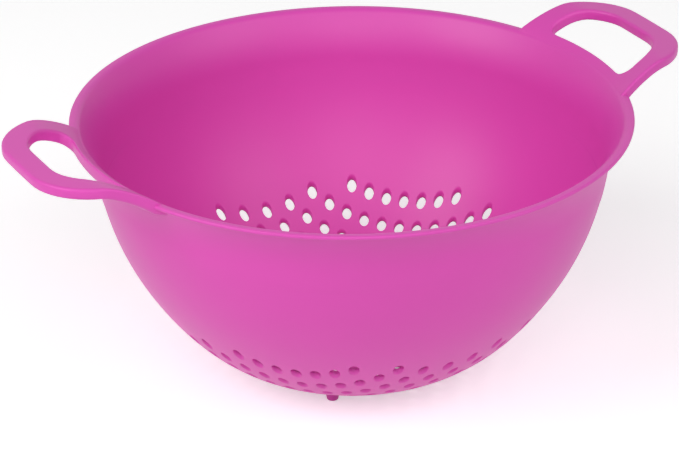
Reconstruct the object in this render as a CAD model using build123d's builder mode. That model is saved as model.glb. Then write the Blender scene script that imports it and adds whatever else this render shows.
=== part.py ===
from build123d import *
from math import hypot, pi, sin, sqrt
import os

# A round plastic colander: a deep bowl with a flared rim, a perforated base on four small feet,
# and two loop handles that grow out of the rim on opposite sides.
# The origin is on the surface that the feet stand on, under the bowl's axis, with +Z up.
# +X runs through the right handle. All lengths are in millimetres and all angles in degrees.

# Bowl
rim_radius = 130.0
bowl_height = 121.0
wall = 2.0
lip_bend = 2.0
lip_chamfer = 0.6
# Points on the outside of the wall: the edge of the flat floor, the top of the perforated base, and
# the throat where the flare starts. The first number is a share of rim_radius and the second is a
# share of bowl_height.
floor_edge_shares = (0.262, 0.0)
base_edge_shares = (0.762, 0.364)
throat_shares = (0.914, 0.813)
# How steeply the wall climbs at the top of the base
base_edge_slope = 57.7
# How far the haunch keeps the slope of each of its ends, as shares of rim_radius
haunch_pull_shares = (0.232, 0.206)
# Where the flare meets the underside of the lip, as a share of rim_radius
lip_root_share = 0.977

# Rim band, which stands proud of the wall below it by a fine step
band_depth = 33.3
band_step = 0.25

# Strainer holes, on a square grid turned half a right angle from the line of the handles.
# The moulded holes are round, and are drawn here with hole_sides flats and the same area.
hole_pitch = 9.0
hole_diameter = 4.9
hole_sides = 6
hole_margin = 4.5
grid_turn = 45.0

# Feet, each in the middle of four holes, counted from the axis in half diagonals of the grid
foot_steps = (5, 6)
foot_height = 3.0
foot_tip_radius = 2.7
foot_draft = 8.5
foot_chamfer = 0.6

# Handles. The outline's legs lean in towards the grip.
# How far the grip's outer edge stands out from the rim
handle_stand_out = 35.6
handle_crown = 0.8
handle_shoulder = 37.8
handle_root = 48.5
handle_root_depth = 20.0
handle_corner = 28.0
grip_width = 11.0
grip_thickness = 5.2
grip_chamfer = 1.1
finger_gap_corner = 22.0
finger_gap_root_corner = 4.0
finger_gap_offset = 0.5
# The handle climbs out of the flare and levels out over the grip. It starts below the rim and
# inside it, and its top has turned level a little way outside it.
handle_rise = 11.3
ramp_start_drop = 2.9
ramp_start_inset = 6.0
ramp_start_slope = 52.0
ramp_run = 20.0
ramp_pull = 9.0

# One overrun for all cuts
overrun = 5.0

floor_level = foot_height
rim_level = floor_level + bowl_height
step_level = rim_level - band_depth
hole_radius = hole_diameter / 2
half_diagonal = hole_pitch / sqrt(2)
finger_gap_radius = rim_radius + finger_gap_offset
handle_top = rim_level + handle_rise
handle_reach = rim_radius + handle_stand_out


def outside_point(shares):
    """Give the point of the wall's outside at these shares."""
    return Vector(shares[0] * rim_radius, floor_level + shares[1] * bowl_height)


def towards(slope, length=1):
    """Give the step of this length that climbs at this slope."""
    return Vector(length, 0).rotate(Axis.Z, slope)


def haunch_points(depth):
    """List the control points of the base's curve at this depth in the wall, from the flat floor to
    the base's edge."""
    start = outside_point(floor_edge_shares) + towards(90, depth)
    end = outside_point(base_edge_shares) + towards(base_edge_slope + 90, depth)
    start_pull = towards(0, haunch_pull_shares[0] * rim_radius)
    end_pull = towards(base_edge_slope, haunch_pull_shares[1] * rim_radius)
    return [start, start + start_pull, end - end_pull, end]


def side_section(inset, low, high):
    """Draw the section of the wall above the base between two levels."""
    with BuildSketch(Plane.XZ) as section:
        with BuildLine() as outside:
            start = outside_point(base_edge_shares)
            throat = outside_point(throat_shares) - Vector(inset, 0)
            lip_root = (lip_root_share * rim_radius - inset, rim_level - wall)
            side = TangentArc(start, throat, tangent=towards(base_edge_slope))
            flare = TangentArc(side @ 1, lip_root, tangent=side % 1)
            lip = Line(flare @ 1, (rim_radius - inset, rim_level - wall))
            fillet(outside.vertices().sort_by_distance(lip @ 0)[0], radius=lip_bend)
            offset(amount=wall, side=Side.LEFT, closed=True)
        make_face()
        chamfer(section.vertices().group_by(Axis.X)[-1], length=lip_chamfer)
        with Locations((0, low)):
            Rectangle(rim_radius, high - low, align=(Align.MIN, Align.MIN), mode=Mode.INTERSECT)
    return section.sketch


def turn_round(points):
    """Turn a Bezier curve round the axis into four patches, given its control points. The middle
    points of a patch lie where its sides' tangents meet, and their weight makes its edges round."""
    patches = []
    for quarter in range(4):
        rows = []
        for half_turns, reach in ((0, 1), (1, sqrt(2)), (2, 1)):
            outwards = Vector(reach, 0, 0).rotate(Axis.Z, quarter * 90 + half_turns * 45)
            rows.append([outwards * point.X + Vector(0, 0, point.Y) for point in points])
        weights = [[1] * len(points), [sqrt(0.5)] * len(points), [1] * len(points)]
        patches.append(Face.make_bezier_surface(rows, weights))
    return patches


def close_across(patches, end):
    """Make the disc that closes a round of patches at its lower or upper end."""
    return Face(Wire([patch.edges().sort_by(Axis.Z)[end] for patch in patches]))


# The base's two sides. A round of patches carries this many holes with half the facets of a revolve.
base_outside = turn_round(haunch_points(0))
base_inside = turn_round(haunch_points(wall))
base_edge = turn_round([haunch_points(0)[-1], haunch_points(wall)[-1]])
floor_under = close_across(base_outside, 0)
floor_top = close_across(base_inside, 0)
base_lump = Solid(Shell(base_outside + [floor_under, close_across(base_outside, -1)]))

# Strainer base: the flat floor and the haunch, with every hole of the grid that lies far enough
# inside the base's edge
hole_field_radius = outside_point(base_edge_shares).X - hole_margin
grid_reach = int(hole_field_radius / hole_pitch)
grid_steps = range(-grid_reach, grid_reach + 1)
hole_places = [
    (column * hole_pitch, row * hole_pitch)
    for column in grid_steps
    for row in grid_steps
    if hypot(column, row) * hole_pitch <= hole_field_radius
]
# A regular polygon has the area of a circle when its corners lie this far out.
flat_turn = 2 * pi / hole_sides
hole_corner_radius = hole_radius * sqrt(flat_turn / sin(flat_turn))
with BuildPart() as strainer_base:
    add(Solid(Shell(base_outside + base_inside + base_edge + [floor_under, floor_top])))
    with BuildSketch(Plane.XY.rotated((0, 0, grid_turn))):
        with Locations(*hole_places):
            RegularPolygon(radius=hole_corner_radius, side_count=hole_sides)
    extrude(amount=rim_level, mode=Mode.SUBTRACT)

# Side wall, plain, from the base up to the step under the rim band
with BuildPart() as side_wall:
    revolve(side_section(band_step, 0, step_level), axis=Axis.Z)

# Rim band: the upper wall, the flare and the lip
with BuildPart() as rim_band:
    revolve(side_section(0, step_level, rim_level), axis=Axis.Z)

# Feet: short tapered pegs that end on the underside of the base
feet = []
for end, along in (("front", -1), ("rear", 1)):
    for side, across in (("left", -1), ("right", 1)):
        place = (across * foot_steps[0] * half_diagonal, along * foot_steps[1] * half_diagonal)
        with BuildPart() as foot:
            with BuildSketch(Plane.XY):
                with Locations(place):
                    Circle(foot_tip_radius)
            extrude(amount=foot_height + overrun, taper=-foot_draft)
            chamfer(foot.edges().group_by(Axis.Z)[0], length=foot_chamfer)
            add(base_lump, mode=Mode.SUBTRACT)
        foot.part.label = f"foot_{side}_{end}"
        feet.append(foot.part)


def loop_outline():
    """Draw the handle's outline from above, with sharp shoulders and roots inside the bowl."""
    root_x = rim_radius - handle_root_depth
    shoulder_x = handle_reach - handle_crown
    with BuildSketch(Plane.XY) as outline:
        with BuildLine():
            crown = ThreePointArc(
                (shoulder_x, -handle_shoulder), (handle_reach, 0), (shoulder_x, handle_shoulder)
            )
            Polyline(crown @ 1, (root_x, handle_root), (root_x, -handle_root), crown @ 0)
        make_face()
    return outline.sketch


def draw_ramp(depth):
    """Draw the line of the handle at this depth under its top, from the flare to the grip."""
    start = Vector(rim_radius - ramp_start_inset, rim_level - ramp_start_drop)
    start = start + towards(ramp_start_slope - 90, depth)
    end = Vector(rim_radius + ramp_run, handle_top - depth)
    start_pull = towards(ramp_start_slope, ramp_pull)
    return Bezier(start, start + start_pull, end - towards(0, ramp_pull), end)


# Right handle: the loop seen from above meets the climbing strap seen from the side
with BuildPart() as right_handle:
    with BuildSketch(Plane.XY) as loop:
        add(loop_outline())
        fillet(loop.vertices().group_by(Axis.X)[-1], radius=handle_corner)
    extrude(amount=handle_top + overrun)
    with BuildSketch(Plane.YZ):
        with BuildLine():
            top = draw_ramp(0)
            under = draw_ramp(grip_thickness)
            Line(top @ 0, under @ 0)
            strap_end = handle_reach + overrun
            Polyline(top @ 1, (strap_end, handle_top), (strap_end, handle_top - grip_thickness), under @ 1)
        make_face()
    revolve(axis=Axis.Z, mode=Mode.INTERSECT)
    with BuildSketch(Plane.XY) as gap:
        add(loop_outline())
        offset(amount=-grip_width, kind=Kind.INTERSECTION, mode=Mode.REPLACE)
        fillet(gap.vertices().group_by(Axis.X)[-1], radius=finger_gap_corner)
        Circle(finger_gap_radius, mode=Mode.SUBTRACT)
        fillet(gap.vertices().group_by(Axis.X)[0], radius=finger_gap_root_corner)
    extrude(amount=handle_top + overrun, mode=Mode.SUBTRACT)
    corners = right_handle.faces().filter_by(GeomType.CYLINDER)
    flats = right_handle.faces().filter_by(GeomType.PLANE).filter_by(Axis.Z, reverse=True)
    edges = (corners + flats).edges().filter_by(Axis.Z, reverse=True)
    outer_edges = edges.filter_by(lambda edge: hypot(edge.center().X, edge.center().Y) > rim_radius)
    chamfer(outer_edges, length=grip_chamfer)
    add(rim_band.part, mode=Mode.SUBTRACT)

with BuildPart() as left_handle:
    add(right_handle.part.mirror(Plane.YZ))

strainer_base.part.label = "strainer_base"
side_wall.part.label = "side_wall"
rim_band.part.label = "rim_band"
right_handle.part.label = "right_handle"
left_handle.part.label = "left_handle"

os.makedirs("parts", exist_ok=True)
pieces = [strainer_base.part, side_wall.part, rim_band.part, right_handle.part, left_handle.part]
for piece in pieces + feet:
    export_step(piece, f"parts/{piece.label}.step")
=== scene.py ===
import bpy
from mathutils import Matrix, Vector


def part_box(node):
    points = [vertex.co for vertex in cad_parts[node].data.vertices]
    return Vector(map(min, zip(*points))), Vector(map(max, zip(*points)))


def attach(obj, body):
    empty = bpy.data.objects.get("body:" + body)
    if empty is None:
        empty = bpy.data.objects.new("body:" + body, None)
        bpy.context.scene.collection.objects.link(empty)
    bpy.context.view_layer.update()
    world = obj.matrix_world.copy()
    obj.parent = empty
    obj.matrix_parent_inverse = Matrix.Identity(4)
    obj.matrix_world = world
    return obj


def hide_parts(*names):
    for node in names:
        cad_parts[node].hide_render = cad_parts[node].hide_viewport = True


bl_info = {
    "name": "Colander",
    "version": (1, 0, 0),
    "blender": (4, 5, 0),
    "location": "3D View > Sidebar > Colander",
    "description": "Finishes a moulded plastic colander on its packed CAD frame",
    "category": "Add Mesh",
}

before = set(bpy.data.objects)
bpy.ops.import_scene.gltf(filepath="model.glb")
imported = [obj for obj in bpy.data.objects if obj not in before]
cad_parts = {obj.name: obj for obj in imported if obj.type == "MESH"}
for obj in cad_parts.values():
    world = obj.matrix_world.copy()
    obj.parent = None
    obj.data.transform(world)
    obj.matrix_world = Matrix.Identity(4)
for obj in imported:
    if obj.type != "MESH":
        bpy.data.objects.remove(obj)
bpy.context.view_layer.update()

from bisect import bisect_right
from math import atan2, cos, hypot, pi, radians, sin, tan

import bmesh
import bpy
from bpy.props import FloatProperty, FloatVectorProperty, IntProperty, PointerProperty
from mathutils import Quaternion, Vector
from mathutils.geometry import interpolate_bezier, intersect_line_sphere_2d

# All lengths are in metres, in the CAD frame: the origin is under the bowl's axis on the surface
# that the feet stand on, +Z is up and +X runs through the right handle.
base_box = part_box("strainer_base")
band_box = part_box("rim_band")
handle_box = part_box("right_handle")
foot_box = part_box("foot_right_front")
feet_names = ["foot_left_front", "foot_left_rear", "foot_right_front", "foot_right_rear"]

# How finely the wall's profile is divided, from the floor out to the lip
haunch_steps = 48
side_steps = 24
flare_steps = 16
bend_steps = 6
step_rounding_steps = 3
lip_rounding_steps = 6

# How finely half of a handle's outline is divided, and its climb and its rounded edges
grip_steps = 8
corner_steps = 12
leg_steps = 12
root_corner_steps = 5
seat_steps = 25
gap_rim_steps = 20
ramp_steps = 32
loop_cuts = 4
loop_rounding_steps = 4

# Each hole lies in a cell of this many steps a side, and takes up the inner ones
cell_steps = 6
hole_steps = 4
foot_turns = 40
foot_rounding_steps = 5

# Two places closer than this are one, and vertices closer than the next are merged
same_place = 1e-6
merge_distance = 1e-7
merge_digits = 7

# Faces that turn by more than this meet at an edge, in radians
edge_angle = 1


def length(name, description, default):
    return FloatProperty(name=name, description=description, default=default, unit="LENGTH", precision=5)


def angle(name, description, degrees):
    return FloatProperty(
        name=name, description=description, default=radians(degrees), unit="ROTATION", subtype="ANGLE"
    )


def share(name, description, default):
    return FloatProperty(name=name, description=description, default=default, min=0, max=1, subtype="FACTOR")


def number(name, description, default):
    return FloatProperty(name=name, description=description, default=default)


def count(name, description, default):
    return IntProperty(name=name, description=description, default=default, min=1)


def power(name, description, default):
    return FloatProperty(name=name, description=description, default=default, unit="POWER")


def position(name, description, default):
    return FloatVectorProperty(
        name=name, description=description, default=default, size=3, unit="LENGTH", subtype="TRANSLATION"
    )


def colour(name, description, default):
    return FloatVectorProperty(
        name=name, description=description, default=default, size=3, min=0, max=1, subtype="COLOR"
    )


class ColanderBowlSizes(bpy.types.PropertyGroup):
    """The wall's profile from the floor to the lip"""

    wall: length("Wall", "Thickness of the moulding", 0.002)
    rim_radius: length("Rim radius", "Radius of the lip's outer edge", band_box[1][0])
    rim_level: length("Rim level", "Height of the lip's top", band_box[1][2])
    step_level: length("Step level", "Height of the fine step under the rim band", band_box[0][2])
    step: length("Step", "How far the rim band stands proud of the wall below it", 0.00035)
    step_rounding: length("Step rounding", "Rounding of the step's edge", 0.0001)
    floor_level: length("Floor level", "Height of the floor's underside", base_box[0][2] - 0.0015)
    floor_edge: length("Floor edge", "Radius at which the flat floor starts to rise", 0.03406)
    base_radius: length("Base radius", "Radius at which the base meets the side wall", base_box[1][0])
    base_slope: angle("Base slope", "Slope of the wall at the edge of the base", 57.7)
    floor_pull: length("Floor pull", "Length of the haunch curve's handle at the floor", 0.03016)
    edge_pull: length("Edge pull", "Length of the haunch curve's handle at the base's edge", 0.02678)
    throat_radius: length("Throat radius", "Radius of the wall where the flare starts", 0.11882)
    throat_level: length("Throat level", "Height of the wall where the flare starts", 0.10137)
    lip_root: length("Lip root", "Radius at which the flare meets the lip's underside", 0.12701)
    lip_bend: length("Lip bend", "Radius of the bend under the lip", 0.002)
    lip_rounding: length("Lip rounding", "Rounding of the lip's outer edge", 0.0009)
    turns: count("Segments", "Segments round the bowl", 256)


class ColanderHoleSizes(bpy.types.PropertyGroup):
    """The grid of strainer holes"""

    pitch: length("Pitch", "Distance between holes along the grid", 0.009)
    diameter: length("Diameter", "Diameter of a hole", 0.0049)
    field_radius: length("Field radius", "No hole's centre lies farther from the axis", 0.0945)
    rounding: length("Rounding", "Softening of a hole's edges", 0.0003)
    turn: angle("Grid turn", "Turn of the grid from the line of the handles", 45)


class ColanderHandleSizes(bpy.types.PropertyGroup):
    """The loop handles"""

    reach: length("Reach", "Distance from the axis to the middle of the grip's outer edge", handle_box[1][0])
    crown: length("Crown", "How far the grip's outer edge bulges", 0.0008)
    shoulder: length("Shoulder", "Half the width of the outline at the grip", 0.0377)
    root: length("Root", "Half the width of the outline inside the rim", 0.0478)
    root_depth: length("Root depth", "How far inside the rim that width is measured", 0.02)
    corner: length("Corner", "Radius of the outline's corners", 0.029)
    grip_width: length("Grip width", "Width of the loop seen from above", 0.0112)
    thickness: length("Thickness", "Thickness of the loop", 0.0053)
    rounding: length("Rounding", "Rounding of the loop's edges", 0.0013)
    outer_rounding: length("Outer rounding", "Rounding of the outer edge under the loop", 0.0017)
    gap_corner: length("Gap corner", "Radius of the finger gap's corners at the grip", 0.022)
    gap_root_corner: length("Gap root corner", "Radius of the finger gap's corners at the rim", 0.004)
    gap_radius: length("Gap radius", "Distance of the finger gap's rim side from the axis", 0.1305)
    seat_radius: length("Seat radius", "Distance from the axis at which the handle ends in the wall", 0.1212)
    seat_depth: length("Seat depth", "How deep in the wall's inside the handle starts", 0.00005)
    top: length("Top", "Height of the grip's top", handle_box[1][2])
    ramp_start: length("Ramp start", "Distance from the axis at which the top leaves the flare", 0.124)
    ramp_end: length("Ramp end", "Distance from the axis at which the top is level", 0.15)
    ramp_start_pull: length("Ramp start pull", "Length of the ramp curve's handle at the flare", 0.006)
    ramp_end_pull: length("Ramp end pull", "Length of the ramp curve's handle at the grip", 0.0075)


class ColanderFootSizes(bpy.types.PropertyGroup):
    """The four feet"""

    tip_radius: length("Tip radius", "Radius of a foot's tip", 0.0027)
    draft: angle("Draft", "Taper of a foot's side", 8.5)
    rounding: length("Rounding", "Rounding of a foot's tip", 0.0007)
    seat: length("Seat", "How far a foot reaches into the wall at its outer side", 0.0001)


class ColanderFinish(bpy.types.PropertyGroup):
    """The moulded plastic"""

    body: colour("Colour", "Colour of the plastic", (0.76, 0.068, 0.475))
    roughness: share("Roughness", "Roughness of the satin surface", 0.42)
    roughness_spread: share("Roughness spread", "How far the roughness strays to each side", 0.04)
    ior: number("IOR", "Index of refraction of the plastic", 1.49)
    cloud_scale: number("Cloud scale", "Scale of the colour's slow change", 9)
    cloud: share("Cloud", "Strength of the colour's slow change", 0.05)
    grain_scale: number("Grain scale", "Scale of the satin grain", 1600)
    grain: share("Grain", "Strength of the satin grain", 0.05)
    grain_height: length("Grain height", "Height of the satin grain", 0.0001)


class ColanderStage(bpy.types.PropertyGroup):
    """The floor, the lamps and the camera"""

    camera_azimuth: angle("Camera azimuth", "Direction from the axis to the camera", 241.6)
    camera_distance: length("Camera distance", "Level distance from the axis to the camera", 1.2629)
    camera_height: length("Camera height", "Height of the camera", 0.6871)
    aim_side: length("Aim side", "How far left of the axis the camera aims", 0.0061)
    aim_height: length("Aim height", "Height that the camera aims at", 0.0634)
    camera_roll: angle("Camera roll", "Roll of the camera", 0.58)
    lens: number("Lens", "Focal length in millimetres", 159.0)
    floor_size: length("Floor size", "Side of the floor", 4.0)
    floor_colour: colour("Floor colour", "Colour of the floor", (0.9, 0.9, 0.9))
    floor_roughness: share("Floor roughness", "Roughness of the floor", 0.9)
    floor_glow: number("Floor glow", "Glow that whitens the floor", 0.47)
    lamp_size: length("Lamp size", "Side of each square lamp", 0.9)
    front_place: position("Front place", "Place of the lamp at the camera's side", (-0.52, -0.97, 0.9))
    front_power: power("Front power", "Power of the lamp at the camera's side", 5.2)
    left_place: position("Left place", "Place of the lamp on the camera's left", (-1.1, -0.03, 0.9))
    left_power: power("Left power", "Power of the lamp on the camera's left", 8.4)
    right_place: position("Right place", "Place of the lamp on the camera's right", (0.58, -0.94, 0.9))
    right_power: power("Right power", "Power of the lamp on the camera's right", 4.6)
    world_strength: number("World", "Brightness of the surroundings", 0.2)


def towards(slope, distance):
    """Give the step of this length that climbs at this slope."""
    return Vector((cos(slope), sin(slope))) * distance


def tangent_arc(start, slope, end, stop, steps):
    """List the points and slopes of the arc that leaves start at this slope and is drawn to stop
    as a share of its way to end."""
    chord = end - start
    turn = 2 * (atan2(chord.y, chord.x) - slope)
    radius = chord.length / (2 * sin(turn / 2))
    centre = start + towards(slope + pi / 2, radius)
    slopes = [slope + turn * stop * step / steps for step in range(steps + 1)]
    return [(centre - towards(at + pi / 2, radius), at) for at in slopes]


def round_corner(before, corner, after, radius, steps):
    """List the points of the arc of this radius that rounds a corner. It is a Bezier curve whose
    handles are as long as the radius times 4/3 of the tangent of a quarter of the turn."""
    arm_in = (before - corner).normalized()
    arm_out = (after - corner).normalized()
    turn = pi - arm_in.angle(arm_out)
    reach = radius * tan(turn / 2)
    pull = reach - radius * tan(turn / 4) * 4 / 3
    start = corner + arm_in * reach
    end = corner + arm_out * reach
    return interpolate_bezier(start, corner + arm_in * pull, corner + arm_out * pull, end, steps + 1)


def wall_stations(bowl, inset):
    """List the points and slopes of the wall's outside, from the axis out to the lip's edge.
    The throat and the lip are moved towards the axis by inset."""
    stations = [(Vector((0, bowl.floor_level)), 0)]
    edge = Vector((bowl.base_radius, base_box[1][2])) + towards(bowl.base_slope + pi / 2, -bowl.wall)
    edge.x = bowl.base_radius
    start = Vector((bowl.floor_edge, bowl.floor_level))
    start_handle = start + Vector((bowl.floor_pull, 0))
    end_handle = edge - towards(bowl.base_slope, bowl.edge_pull)
    haunch = interpolate_bezier(start, start_handle, end_handle, edge, haunch_steps)
    for before, here, after in zip([haunch[0]] + haunch, haunch, haunch[1:] + [haunch[-1]]):
        stations.append((here, atan2(after.y - before.y, after.x - before.x)))
    throat = Vector((bowl.throat_radius - inset, bowl.throat_level))
    side = tangent_arc(edge, bowl.base_slope, throat, 1, side_steps)
    lip_root = Vector((bowl.lip_root - inset, bowl.rim_level - bowl.wall))
    flare_slope = side[-1][1]
    chord = lip_root - throat
    end_slope = 2 * atan2(chord.y, chord.x) - flare_slope
    bend_reach = bowl.lip_bend * tan(end_slope / 2)
    flare_end = 1 - bend_reach / chord.length
    flare = tangent_arc(throat, flare_slope, lip_root, flare_end, flare_steps)
    bend_end = lip_root + Vector((bend_reach, 0))
    bend_slope = flare[-1][1]
    bend = tangent_arc(flare[-1][0], bend_slope, bend_end, 1, bend_steps)
    lip_end = Vector((bowl.rim_radius - inset, bowl.rim_level - bowl.wall))
    return stations[:-1] + side + flare[1:] + bend[1:] + [(lip_end, 0)]


def offset_line(stations, depth):
    """List the points that lie at this depth in the wall from the stations."""
    return [point + towards(slope + pi / 2, depth) for point, slope in stations]


def cut_line(points, axis, value):
    """Cut a climbing line where it reaches this value on this axis, and give both parts."""
    for index, (before, after) in enumerate(zip(points, points[1:])):
        if before[axis] <= value < after[axis]:
            part = (value - before[axis]) / (after[axis] - before[axis])
            middle = before.lerp(after, part)
            return points[: index + 1] + [middle], [middle] + points[index + 1 :]
    raise ValueError("the line doesn't reach the cut")


def level_on(points, radius):
    """Give the height of a line at this radius, or the slope if its points hold slopes."""
    if radius <= points[0].x:
        return points[0].y
    index = bisect_right(points, radius, key=lambda point: point.x)
    if index == len(points):
        return points[-1].y
    before, after = points[index - 1], points[index]
    return before.y + (after.y - before.y) * (radius - before.x) / (after.x - before.x)


def slopes_along(line, stations):
    """Pair the radii of a line in the wall with the wall's slopes there."""
    return [Vector((point.x, slope)) for point, (_, slope) in zip(line, stations)]


def lies_inside(edge, radius):
    """Tell whether both ends of an edge lie nearer the axis than this."""
    return max(vert.co.xy.length for vert in edge.verts) < radius


def rounded(place):
    """Give a place as seen from above, on one side of the handle, rounded so that equals match."""
    return round(place.x, merge_digits), round(abs(place.y), merge_digits)


def put_on_ground(bm):
    """Move a bmesh up or down until its lowest point is on the ground."""
    low = min(vert.co.z for vert in bm.verts)
    bmesh.ops.translate(bm, verts=bm.verts, vec=(0, 0, -low))


def press_between(bm, under, over, thickness):
    """Press a flat slab that lies on the ground between two lines of heights over the radius."""
    for vert in bm.verts:
        radius = hypot(vert.co.x, vert.co.y)
        low = level_on(under, radius)
        high = level_on(over, radius)
        vert.co.z = low + (high - low) * vert.co.z / thickness


def spin_section(points, segments):
    """Spin a closed section round the axis."""
    bm = bmesh.new()
    verts = [bm.verts.new((point.x, 0, point.y)) for point in points]
    edges = [bm.edges.new(pair) for pair in zip(verts, verts[1:] + verts[:1])]
    turn = {"cent": (0, 0, 0), "axis": (0, 0, 1), "angle": 2 * pi, "steps": segments}
    bmesh.ops.spin(bm, geom=verts + edges, use_merge=True, **turn)
    return bm


def shade_along_wall(piece, bowl, inset):
    """Give the vertices on the wall's two sides the normals of its profile, so that the pieces of
    the wall meet without a seam."""
    stations = wall_stations(bowl, inset)
    sides = []
    for depth, facing in ((0, -1), (bowl.wall, 1)):
        line = offset_line(stations, depth)
        sides.append((line, slopes_along(line, stations), facing))
    normals = []
    for vert in piece.data.vertices:
        radius = vert.co.xy.length
        normal = Vector((0, 0, 0))
        for line, slopes, facing in sides:
            if abs(level_on(line, radius) - vert.co.z) < 2 * same_place and radius > 0:
                tilt = towards(level_on(slopes, radius) + pi / 2, facing)
                normal = Vector((*(vert.co.xy / radius * tilt.x), tilt.y))
        normals.append(normal)
    piece.data.normals_split_custom_set_from_vertices(normals)


def finish_piece(bm, name, nodes, sharp_degrees=40):
    """Make a bmesh into a finished piece that stands for these CAD nodes."""
    bmesh.ops.remove_doubles(bm, verts=bm.verts, dist=merge_distance)
    bmesh.ops.recalc_face_normals(bm, faces=bm.faces)
    mesh = bpy.data.meshes.new(name)
    bm.to_mesh(mesh)
    bm.free()
    mesh.shade_smooth()
    mesh.set_sharp_from_angle(angle=radians(sharp_degrees))
    piece = bpy.data.objects.new(name, mesh)
    bpy.context.scene.collection.objects.link(piece)
    mesh.materials.append(plastic(bpy.context.scene.colander_finish))
    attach(piece, "root")
    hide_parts(*nodes)
    return piece


def plastic(finish):
    """Give the one moulded plastic that the whole colander is made of."""
    name = "moulded_magenta_plastic"
    if name in bpy.data.materials:
        return bpy.data.materials[name]
    material = bpy.data.materials.new(name)
    material.use_nodes = True
    nodes = material.node_tree.nodes
    links = material.node_tree.links
    shader = nodes["Principled BSDF"]
    shader.inputs["IOR"].default_value = finish.ior
    place = nodes.new("ShaderNodeTexCoord")

    cloud = nodes.new("ShaderNodeTexNoise")
    cloud.inputs["Scale"].default_value = finish.cloud_scale
    cloud.inputs["Detail"].default_value = 4
    links.new(place.outputs["Object"], cloud.inputs["Vector"])
    tint = nodes.new("ShaderNodeMix")
    tint.data_type = "RGBA"
    tint.inputs["A"].default_value = (*(part * (1 - finish.cloud) for part in finish.body), 1)
    tint.inputs["B"].default_value = (*(min(1, part * (1 + finish.cloud)) for part in finish.body), 1)
    links.new(cloud.outputs["Fac"], tint.inputs["Factor"])
    links.new(tint.outputs["Result"], shader.inputs["Base Color"])

    grain = nodes.new("ShaderNodeTexNoise")
    grain.inputs["Scale"].default_value = finish.grain_scale
    grain.inputs["Detail"].default_value = 2
    links.new(place.outputs["Object"], grain.inputs["Vector"])
    satin = nodes.new("ShaderNodeMapRange")
    satin.inputs["To Min"].default_value = finish.roughness - finish.roughness_spread
    satin.inputs["To Max"].default_value = finish.roughness + finish.roughness_spread
    links.new(cloud.outputs["Fac"], satin.inputs["Value"])
    links.new(satin.outputs["Result"], shader.inputs["Roughness"])
    bump = nodes.new("ShaderNodeBump")
    bump.inputs["Strength"].default_value = finish.grain
    bump.inputs["Distance"].default_value = finish.grain_height
    links.new(grain.outputs["Fac"], bump.inputs["Height"])
    links.new(bump.outputs["Normal"], shader.inputs["Normal"])
    return material


class COLANDER_OT_strainer_base(bpy.types.Operator):
    """Press the perforated floor and haunch out of a flat sheet"""

    bl_idname = "colander.strainer_base"
    bl_label = "Strainer base"

    def execute(self, context):
        bowl = context.scene.colander_bowl
        holes = context.scene.colander_holes
        reach = int(bowl.base_radius / holes.pitch) + 1
        cells = 2 * reach + 1
        bm = bmesh.new()
        segments = cells * cell_steps
        half = cells * holes.pitch / 2
        bmesh.ops.create_grid(bm, x_segments=segments, y_segments=segments, size=half)

        outside = [face for face in bm.faces if face.calc_center_median().length > bowl.base_radius]
        bmesh.ops.delete(bm, geom=outside, context="FACES")
        for vert in bm.verts:
            if vert.is_boundary:
                vert.co = vert.co.normalized() * bowl.base_radius

        square = holes.pitch * hole_steps / cell_steps / 2 + same_place

        def hole_offset(place):
            """Give the nearest hole's centre and the way from there to this place, or nothing
            outside that hole's square."""
            centre = Vector((round(place.x / holes.pitch), round(place.y / holes.pitch))) * holes.pitch
            offset = place.xy - centre
            inside = max(abs(offset.x), abs(offset.y)) < square
            return (centre, offset) if inside and centre.length <= holes.field_radius else None

        punched = [face for face in bm.faces if hole_offset(face.calc_center_median())]
        bmesh.ops.delete(bm, geom=punched, context="FACES")
        for vert in bm.verts:
            found = hole_offset(vert.co)
            if found:
                centre, offset = found
                if abs(offset.x) >= abs(offset.y):
                    around = offset.y / offset.x * pi / 4
                    flip = 0 if offset.x > 0 else pi
                else:
                    around = -offset.x / offset.y * pi / 4
                    flip = pi / 2 if offset.y > 0 else -pi / 2
                vert.co.xy = centre + towards(around + flip, holes.diameter / 2)

        bmesh.ops.solidify(bm, geom=bm.faces, thickness=-bowl.wall)
        edges = [edge for edge in bm.edges if edge.calc_face_angle(0) > edge_angle]
        rims = [edge for edge in edges if lies_inside(edge, bowl.base_radius - same_place)]
        rounding = {"offset": holes.rounding, "segments": 1, "profile": 0.5}
        bmesh.ops.bevel(bm, geom=rims, affect="EDGES", material=-1, **rounding)
        put_on_ground(bm)
        turn = Quaternion((0, 0, 1), holes.turn).to_matrix()
        bmesh.ops.rotate(bm, verts=bm.verts, cent=(0, 0, 0), matrix=turn)
        stations = wall_stations(bowl, bowl.step)
        press_between(bm, offset_line(stations, 0), offset_line(stations, bowl.wall), bowl.wall)
        piece = finish_piece(bm, "strainer_base_round_holes", ["strainer_base"], 50)
        shade_along_wall(piece, bowl, bowl.step)
        return {"FINISHED"}


class COLANDER_OT_side_wall(bpy.types.Operator):
    """Spin the plain side wall"""

    bl_idname = "colander.side_wall"
    bl_label = "Side wall"

    def execute(self, context):
        bowl = context.scene.colander_bowl
        stations = wall_stations(bowl, bowl.step)
        sides = []
        for depth in (0, bowl.wall):
            line = cut_line(offset_line(stations, depth), 0, bowl.base_radius)[1]
            sides.append(cut_line(line, 1, bowl.step_level)[0])
        bm = spin_section(sides[0] + sides[1][::-1], bowl.turns)
        piece = finish_piece(bm, "side_wall_smooth", ["side_wall"])
        shade_along_wall(piece, bowl, bowl.step)
        return {"FINISHED"}


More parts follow.
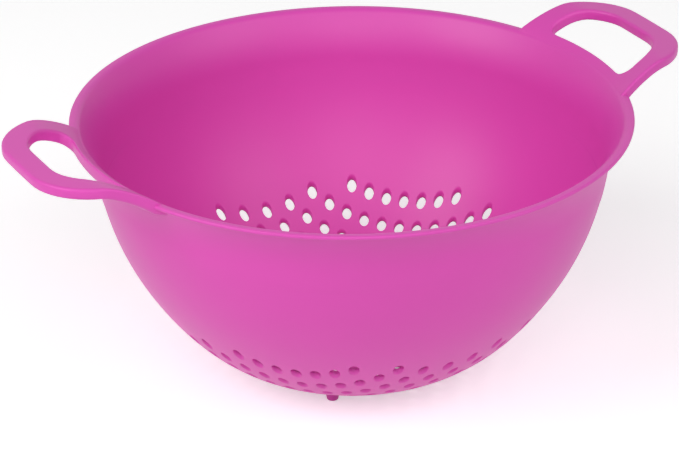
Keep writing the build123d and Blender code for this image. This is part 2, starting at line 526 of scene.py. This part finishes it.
class COLANDER_OT_rim_band(bpy.types.Operator):
    """Spin the rim band with its flare and its rounded lip"""

    bl_idname = "colander.rim_band"
    bl_label = "Rim band"

    def execute(self, context):
        bowl = context.scene.colander_bowl
        stations = wall_stations(bowl, 0)
        outside = cut_line(offset_line(stations, 0), 1, bowl.step_level)[1]
        inside = cut_line(offset_line(stations, bowl.wall), 1, bowl.step_level)[1]
        low = round_corner(inside[0], outside[0], outside[1], bowl.step_rounding, step_rounding_steps)
        under = round_corner(outside[-2], outside[-1], inside[-1], bowl.lip_rounding, lip_rounding_steps)
        over = round_corner(outside[-1], inside[-1], inside[-2], bowl.lip_rounding, lip_rounding_steps)
        section = low + outside[1:-1] + under + over + inside[-2::-1]
        bm = spin_section(section, bowl.turns)
        piece = finish_piece(bm, "rim_band_rounded", ["rim_band"])
        shade_along_wall(piece, bowl, 0)
        return {"FINISHED"}


def line_points(start, end, steps):
    """List the points of a straight run, without its end."""
    return [start.lerp(end, step / steps) for step in range(steps)]


def rim_points(start, radius, steps):
    """List the points from start round the axis to the handle's middle."""
    turn = atan2(start.y, start.x)
    return [towards(turn * (1 - step / steps), radius) for step in range(steps + 1)]


def loop_halves(handle):
    """List the outer and the inner edge of half a handle seen from above, from the grip's middle
    round to the middle of the rim's side."""
    grip_side = handle.reach - handle.crown
    shoulder = Vector((grip_side, handle.shoulder))
    root = Vector((bpy.context.scene.colander_bowl.rim_radius - handle.root_depth, handle.root))
    leg = (shoulder - root).normalized()
    inward = Vector((leg.y, -leg.x)) * handle.grip_width
    grip = handle.reach - handle.grip_width
    gap_root = root + inward
    gap_shoulder = gap_root + leg * ((grip - gap_root.x) / leg.x)
    axis = Vector((0, 0))

    seat = intersect_line_sphere_2d(root, shoulder, axis, handle.seat_radius)[0]
    gap_seat = intersect_line_sphere_2d(gap_root, gap_shoulder, axis, handle.gap_radius)[0]

    crown_mid = Vector((grip_side, 0))
    outer_corner = round_corner(crown_mid, shoulder, root, handle.corner, corner_steps)
    grip_mid = Vector((grip, 0))
    inner_corner = round_corner(grip_mid, gap_shoulder, gap_root, handle.gap_corner, corner_steps)
    round_the_rim = Vector((gap_seat.y, -gap_seat.x))
    rim_side = gap_seat + round_the_rim
    root_corner = round_corner(gap_shoulder, gap_seat, rim_side, handle.gap_root_corner, root_corner_steps)

    outer = line_points(crown_mid, outer_corner[0], grip_steps) + outer_corner
    outer += line_points(outer_corner[-1], seat, leg_steps)[1:]
    outer += rim_points(seat, handle.seat_radius, seat_steps)
    for point in outer:
        lift = max(0, 1 - (point.y / handle.shoulder) ** 2)
        point.x += handle.crown * lift * (point.x > handle.gap_radius)
    inner = line_points(grip_mid, inner_corner[0], grip_steps) + inner_corner
    inner += line_points(inner_corner[-1], root_corner[0], leg_steps)[1:] + root_corner
    inner += rim_points(root_corner[-1], handle.gap_radius, gap_rim_steps)[1:]
    return outer, inner


def add_loop(bm, half):
    """Add a closed loop of edges from the points of half of it."""
    mirrored = [Vector((point.x, -point.y)) for point in half[-2:0:-1]]
    verts = [bm.verts.new((point.x, point.y, 0)) for point in half + mirrored]
    return [bm.edges.new(pair) for pair in zip(verts, verts[1:] + verts[:1])]


class COLANDER_OT_handles(bpy.types.Operator):
    """Build the two loop handles"""

    bl_idname = "colander.handles"
    bl_label = "Handles"

    def execute(self, context):
        bowl = context.scene.colander_bowl
        handle = context.scene.colander_handles
        stations = wall_stations(bowl, 0)
        inside = offset_line(stations, bowl.wall)
        slope = level_on(slopes_along(inside, stations), handle.ramp_start)
        start = Vector((handle.ramp_start, level_on(inside, handle.ramp_start)))
        end = Vector((handle.ramp_end, handle.top))
        start_pull = towards(slope, handle.ramp_start_pull)
        end_pull = towards(0, handle.ramp_end_pull)
        ramp = interpolate_bezier(start, start + start_pull, end - end_pull, end, ramp_steps)
        slopes = [slope] + [atan2((b - a).y, (b - a).x) for a, b in zip(ramp, ramp[2:])] + [0]
        under = [point + towards(at - pi / 2, handle.thickness) for point, at in zip(ramp, slopes)]
        in_wall = offset_line(stations, bowl.wall - handle.seat_depth)
        over = [point for point in in_wall if point.x < start.x] + ramp
        middle = offset_line(stations, bowl.wall / 2)
        under = [point for point in middle if point.y < under[0].y] + under
        for side, node in ((1, "right_handle"), (-1, "left_handle")):
            bm = self.make_flat_loop(handle)
            press_between(bm, under, over, handle.thickness)
            bmesh.ops.scale(bm, verts=bm.verts, vec=(side, 1, 1))
            finish_piece(bm, node + "_rounded", [node])
        return {"FINISHED"}

    def make_flat_loop(self, handle):
        """Make the loop as a flat slab with rounded edges."""
        outer, inner = loop_halves(handle)
        bm = bmesh.new()
        edges = add_loop(bm, outer) + add_loop(bm, inner)
        ribs = bmesh.ops.bridge_loops(bm, edges=edges)["edges"]
        bmesh.ops.subdivide_edges(bm, edges=ribs, cuts=loop_cuts)
        bmesh.ops.recalc_face_normals(bm, faces=bm.faces)
        bmesh.ops.solidify(bm, geom=bm.faces, thickness=handle.thickness)
        put_on_ground(bm)
        middle = handle.thickness / 2
        outer_places = {rounded(point) for point in outer}

        def is_outer(vert):
            """Tell whether a vertex is on the loop's outer edge."""
            return rounded(vert.co) in outer_places

        borders = [
            edge
            for edge in bm.edges
            if edge.calc_face_angle(0) > edge_angle
            and abs(edge.verts[0].co.z - edge.verts[1].co.z) < same_place
            and not lies_inside(edge, handle.seat_radius + 10 * same_place)
        ]
        under_outer = [edge for edge in borders if edge.verts[0].co.z < middle and is_outer(edge.verts[0])]
        others = [edge for edge in borders if edge not in under_outer]
        for rims, size in ((under_outer, handle.outer_rounding), (others, handle.rounding)):
            rounding = {"offset": size, "segments": loop_rounding_steps, "profile": 0.5}
            bmesh.ops.bevel(bm, geom=rims, affect="EDGES", material=-1, **rounding)
        return bm


class COLANDER_OT_feet(bpy.types.Operator):
    """Turn the four peg feet"""

    bl_idname = "colander.feet"
    bl_label = "Feet"

    def execute(self, context):
        bowl = context.scene.colander_bowl
        foot = context.scene.colander_feet
        outside = offset_line(wall_stations(bowl, bowl.step), 0)
        for name in feet_names:
            low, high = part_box(name)
            place = Vector(((low[0] + high[0]) / 2, (low[1] + high[1]) / 2, low[2]))
            top = level_on(outside, place.xy.length + (high[0] - low[0]) / 2) + foot.seat - low[2]
            tip = Vector((foot.tip_radius, 0))
            top_edge = Vector((foot.tip_radius + top * tan(foot.draft), top))
            section = [Vector((0, top)), Vector((0, 0))]
            section += round_corner(section[1], tip, top_edge, foot.rounding, foot_rounding_steps)
            bm = spin_section(section + [top_edge], foot_turns)
            bmesh.ops.translate(bm, verts=bm.verts, vec=place)
            finish_piece(bm, name + "_rounded", [name])
        return {"FINISHED"}


def seen_directly(nodes, links):
    """Give the socket that is 1 for what the camera sees, also in a reflection or through glass."""
    path = nodes.new("ShaderNodeLightPath")
    either = nodes.new("ShaderNodeMath")
    either.operation = "MAXIMUM"
    links.new(path.outputs["Is Camera Ray"], either.inputs[0])
    links.new(path.outputs["Is Glossy Ray"], either.inputs[1])
    any_of = nodes.new("ShaderNodeMath")
    any_of.operation = "MAXIMUM"
    links.new(either.outputs[0], any_of.inputs[0])
    links.new(path.outputs["Is Transmission Ray"], any_of.inputs[1])
    return any_of.outputs[0]


class COLANDER_OT_stage(bpy.types.Operator):
    """Set up the floor, the lamps and the camera"""

    bl_idname = "colander.stage"
    bl_label = "Stage"

    def execute(self, context):
        stage = context.scene.colander_stage
        scene = context.scene
        scene.view_settings.view_transform = "Standard"
        self.add_floor(stage)
        self.add_world(stage)
        self.add_lamps(stage)
        self.add_camera(stage)
        return {"FINISHED"}

    def add_floor(self, stage):
        """Add a pale floor whose glow only shows where it is seen directly."""
        bm = bmesh.new()
        bmesh.ops.create_grid(bm, x_segments=1, y_segments=1, size=stage.floor_size / 2)
        mesh = bpy.data.meshes.new("floor")
        bm.to_mesh(mesh)
        bm.free()
        floor = bpy.data.objects.new("floor", mesh)
        bpy.context.scene.collection.objects.link(floor)
        material = bpy.data.materials.new("white_floor")
        material.use_nodes = True
        nodes = material.node_tree.nodes
        links = material.node_tree.links
        shader = nodes["Principled BSDF"]
        shader.inputs["Base Color"].default_value = (*stage.floor_colour, 1)
        shader.inputs["Roughness"].default_value = stage.floor_roughness
        shader.inputs["Emission Color"].default_value = (1, 1, 1, 1)
        glow = nodes.new("ShaderNodeMath")
        glow.operation = "MULTIPLY"
        glow.inputs[1].default_value = stage.floor_glow
        links.new(seen_directly(nodes, links), glow.inputs[0])
        links.new(glow.outputs[0], shader.inputs["Emission Strength"])
        mesh.materials.append(material)

    def add_world(self, stage):
        """Add surroundings that look white and light the colander more weakly."""
        world = bpy.data.worlds.new("studio")
        bpy.context.scene.world = world
        world.use_nodes = True
        nodes = world.node_tree.nodes
        links = world.node_tree.links
        background = nodes["Background"]
        background.inputs["Color"].default_value = (1, 1, 1, 1)
        strength = nodes.new("ShaderNodeMapRange")
        strength.inputs["To Min"].default_value = stage.world_strength
        strength.inputs["To Max"].default_value = 1
        links.new(seen_directly(nodes, links), strength.inputs["Value"])
        links.new(strength.outputs["Result"], background.inputs["Strength"])

    def add_lamps(self, stage):
        """Add three square lamps that face the colander."""
        lamps = {
            "lamp_front": (stage.front_place, stage.front_power),
            "lamp_left": (stage.left_place, stage.left_power),
            "lamp_right": (stage.right_place, stage.right_power),
        }
        for name, (spot, watts) in lamps.items():
            lamp = bpy.data.lights.new(name, "AREA")
            lamp.size = stage.lamp_size
            lamp.energy = watts
            thing = bpy.data.objects.new(name, lamp)
            thing.location = spot
            thing.rotation_euler = (-Vector(spot)).to_track_quat("-Z", "Y").to_euler()
            bpy.context.scene.collection.objects.link(thing)

    def add_camera(self, stage):
        """Add the camera that looks at the colander as the photograph does."""
        lens = bpy.data.cameras.new("camera")
        lens.lens = stage.lens
        camera = bpy.data.objects.new("camera", lens)
        away = Vector((cos(stage.camera_azimuth), sin(stage.camera_azimuth), 0))
        right = Vector((-away.y, away.x, 0))
        camera.location = away * stage.camera_distance + Vector((0, 0, stage.camera_height))
        aim = Vector((0, 0, stage.aim_height)) - right * stage.aim_side
        look = (aim - camera.location).to_track_quat("-Z", "Y")
        camera.rotation_euler = (look @ Quaternion((0, 0, 1), -stage.camera_roll)).to_euler()
        bpy.context.scene.collection.objects.link(camera)
        bpy.context.scene.camera = camera


operators = [
    COLANDER_OT_strainer_base,
    COLANDER_OT_side_wall,
    COLANDER_OT_rim_band,
    COLANDER_OT_handles,
    COLANDER_OT_feet,
    COLANDER_OT_stage,
]
settings = {
    "colander_bowl": ColanderBowlSizes,
    "colander_holes": ColanderHoleSizes,
    "colander_handles": ColanderHandleSizes,
    "colander_feet": ColanderFootSizes,
    "colander_finish": ColanderFinish,
    "colander_stage": ColanderStage,
}


class COLANDER_PT_pieces(bpy.types.Panel):
    """The colander's pieces and their sizes"""

    bl_label = "Colander"
    bl_idname = "COLANDER_PT_pieces"
    bl_space_type = "VIEW_3D"
    bl_region_type = "UI"
    bl_category = "Colander"

    def draw(self, context):
        for operator in operators:
            self.layout.operator(operator.bl_idname)
        for name, group in settings.items():
            box = self.layout.box()
            box.label(text=group.__doc__)
            for field in group.__annotations__:
                box.prop(getattr(context.scene, name), field)


def register():
    for group in settings.values():
        bpy.utils.register_class(group)
    for name, group in settings.items():
        setattr(bpy.types.Scene, name, PointerProperty(type=group))
    for operator in operators:
        bpy.utils.register_class(operator)
    bpy.utils.register_class(COLANDER_PT_pieces)


def unregister():
    bpy.utils.unregister_class(COLANDER_PT_pieces)
    for operator in operators:
        bpy.utils.unregister_class(operator)
    for name, group in settings.items():
        delattr(bpy.types.Scene, name)
        bpy.utils.unregister_class(group)


def main():
    register()
    bpy.ops.colander.strainer_base()
    bpy.ops.colander.side_wall()
    bpy.ops.colander.rim_band()
    bpy.ops.colander.handles()
    bpy.ops.colander.feet()
    bpy.ops.colander.stage()


if __name__ == "__main__":
    main()
